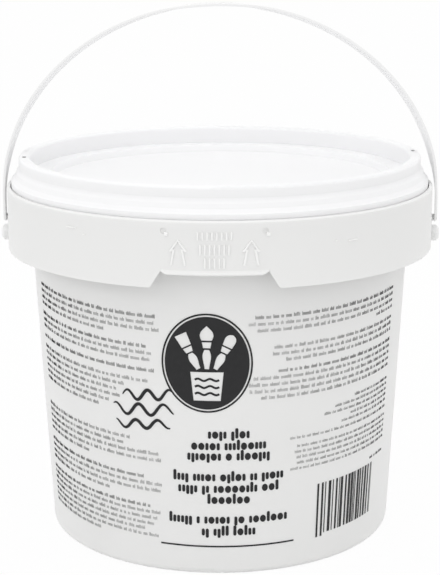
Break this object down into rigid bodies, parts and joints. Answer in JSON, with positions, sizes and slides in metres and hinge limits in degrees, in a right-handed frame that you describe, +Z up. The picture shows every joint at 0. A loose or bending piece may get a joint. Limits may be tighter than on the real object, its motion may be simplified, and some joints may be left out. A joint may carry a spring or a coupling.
{
  "type": "brush washer with lid",
  "caption": "Round white plastic pail with a wide collar, break-away tab, press-on lid, arched strap handle and a wire screen on legs inside for washing paint brushes.",
  "frame": {"origin": "centre of the base, on the surface that the pail stands on", "axes": "+Z up; the break-away tab and the front print face -Y; the handle's pivots lie on a line parallel to X at a height of 143 mm"},
  "size_m": [0.2118, 0.2049, 0.2531],
  "materials": {
    "pail_plastic": "white polyethylene with a soft sheen",
    "lid_plastic": "white polyethylene, a little smoother and cooler than the pail",
    "handle_plastic": "white polyethylene strap",
    "seal_rubber": "pale foamed seal",
    "screen_wire": "zinc-plated steel wire and strip",
    "print_ink": "black screen print on the pail's wall"
  },
  "bodies": {
    "bucket": {"bucket_body": "pail_plastic"},
    "lid": {"lid": "lid_plastic", "lid_gasket": "seal_rubber"},
    "handle": {"handle_bail": "handle_plastic"},
    "screen": {"screen_cross_01": "screen_wire", "screen_cross_02": "screen_wire", "screen_cross_03": "screen_wire", "screen_cross_04": "screen_wire", "screen_cross_05": "screen_wire", "screen_cross_06": "screen_wire", "screen_cross_07": "screen_wire", "screen_cross_08": "screen_wire", "screen_cross_09": "screen_wire", "screen_cross_10": "screen_wire", "screen_cross_11": "screen_wire", "screen_hoop": "screen_wire", "screen_leg_1": "screen_wire", "screen_leg_2": "screen_wire", "screen_leg_3": "screen_wire", "screen_long_01": "screen_wire", "screen_long_02": "screen_wire", "screen_long_03": "screen_wire", "screen_long_04": "screen_wire", "screen_long_05": "screen_wire", "screen_long_06": "screen_wire", "screen_long_07": "screen_wire", "screen_long_08": "screen_wire", "screen_long_09": "screen_wire", "screen_long_10": "screen_wire", "screen_long_11": "screen_wire"}
  },
  "joints": [
    {"name": "lid_lift", "type": "slide", "parent": "bucket", "child": "lid", "axis": [0, 0, 1], "range_m": [0, 0.01]},
    {"name": "handle_swing", "type": "hinge", "parent": "bucket", "child": "handle", "pos_m": [0, 0, 0.143], "axis": [1, 0, 0], "range_deg": [-120, 120]},
    {"name": "screen_lift", "type": "slide", "parent": "bucket", "child": "screen", "axis": [0, 0, 1], "range_m": [0, 0.12]}
  ]
}
